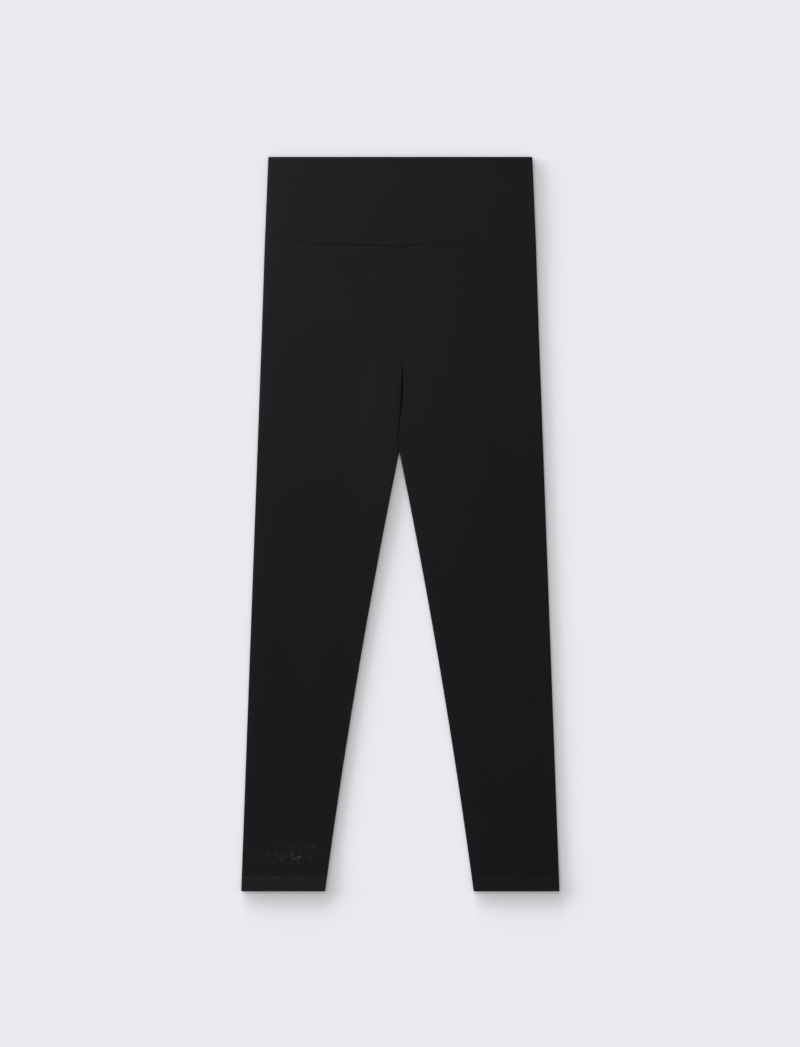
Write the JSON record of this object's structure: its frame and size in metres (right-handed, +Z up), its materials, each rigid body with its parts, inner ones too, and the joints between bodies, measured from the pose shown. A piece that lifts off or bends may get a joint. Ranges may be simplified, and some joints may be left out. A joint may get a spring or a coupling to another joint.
{
  "type": "leggings",
  "caption": "Ankle-length high-waisted leggings laid flat, with a wide doubled waistband and two legs, each wrapped from one panel, parting at a narrow fork.",
  "frame": {"origin": "centre of the underside: midway across and along the garment, on the surface that it lies on", "axes": "+Y from the hems to the waist, +X to the wearer's left, which is the viewer's right, +Z up out of the front"},
  "size_m": [0.399, 0.92, 0.0047],
  "materials": {
    "jersey": "matt black single jersey with elastane",
    "band_jersey": "matt black single jersey with elastane, doubled"
  },
  "bodies": {
    "root": {"waistband_front": "band_jersey", "waistband_back": "band_jersey", "leg_right": "jersey", "leg_left": "jersey"}
  },
  "joints": []
}
